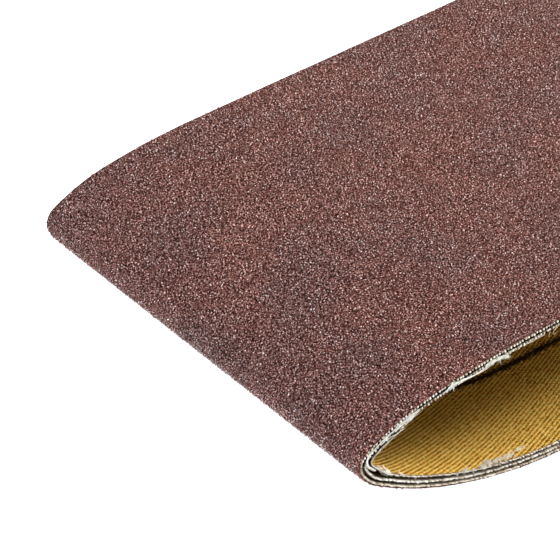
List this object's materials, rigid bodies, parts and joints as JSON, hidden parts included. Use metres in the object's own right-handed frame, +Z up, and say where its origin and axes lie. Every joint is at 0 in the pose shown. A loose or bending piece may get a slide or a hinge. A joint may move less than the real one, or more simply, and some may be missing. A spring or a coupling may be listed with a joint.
{
  "type": "nested abrasive belts",
  "caption": "Endless cloth-backed abrasive belts, nested one inside the other and flattened into a narrow loop, brown grit outside and yellow twill inside.",
  "frame": {"origin": "middle of the loop's length and width, on the underside of the bottom run that the pack rests on", "axes": "+X along the belts, away from the fold that the picture shows; +Y across their width, away from the viewer; +Z up through the flattened loop"},
  "size_m": [0.2594, 0.075, 0.0282],
  "materials": {
    "grain_coat": "brown fused alumina grains in amber size resin, coarse and matt with small glints",
    "make_coat": "dark red-brown phenolic resin, satin",
    "backing_cloth": "undyed cotton twill, its cut yarn ends fuzzy along both edges",
    "back_size": "yellow filled twill face, matt with a slight starch sheen",
    "splice_tape": "thin filament-reinforced polyester film, satin"
  },
  "bodies": {
    "outer_belt": {"outer_grain_coat": "grain_coat", "outer_make_coat": "make_coat", "outer_backing_cloth": "backing_cloth", "outer_back_size": "back_size", "outer_splice_tape": "splice_tape"},
    "middle_belt": {"middle_grain_coat": "grain_coat", "middle_make_coat": "make_coat", "middle_backing_cloth": "backing_cloth", "middle_back_size": "back_size", "middle_splice_tape": "splice_tape"},
    "inner_belt": {"inner_grain_coat": "grain_coat", "inner_make_coat": "make_coat", "inner_backing_cloth": "backing_cloth", "inner_back_size": "back_size", "inner_splice_tape": "splice_tape"}
  },
  "joints": [
    {"name": "middle_belt_pull", "type": "slide", "parent": "outer_belt", "child": "middle_belt", "axis": [0, 1, 0], "range_m": [-0.08, 0.08]},
    {"name": "inner_belt_pull", "type": "slide", "parent": "middle_belt", "child": "inner_belt", "axis": [0, 1, 0], "range_m": [-0.08, 0.08]}
  ]
}
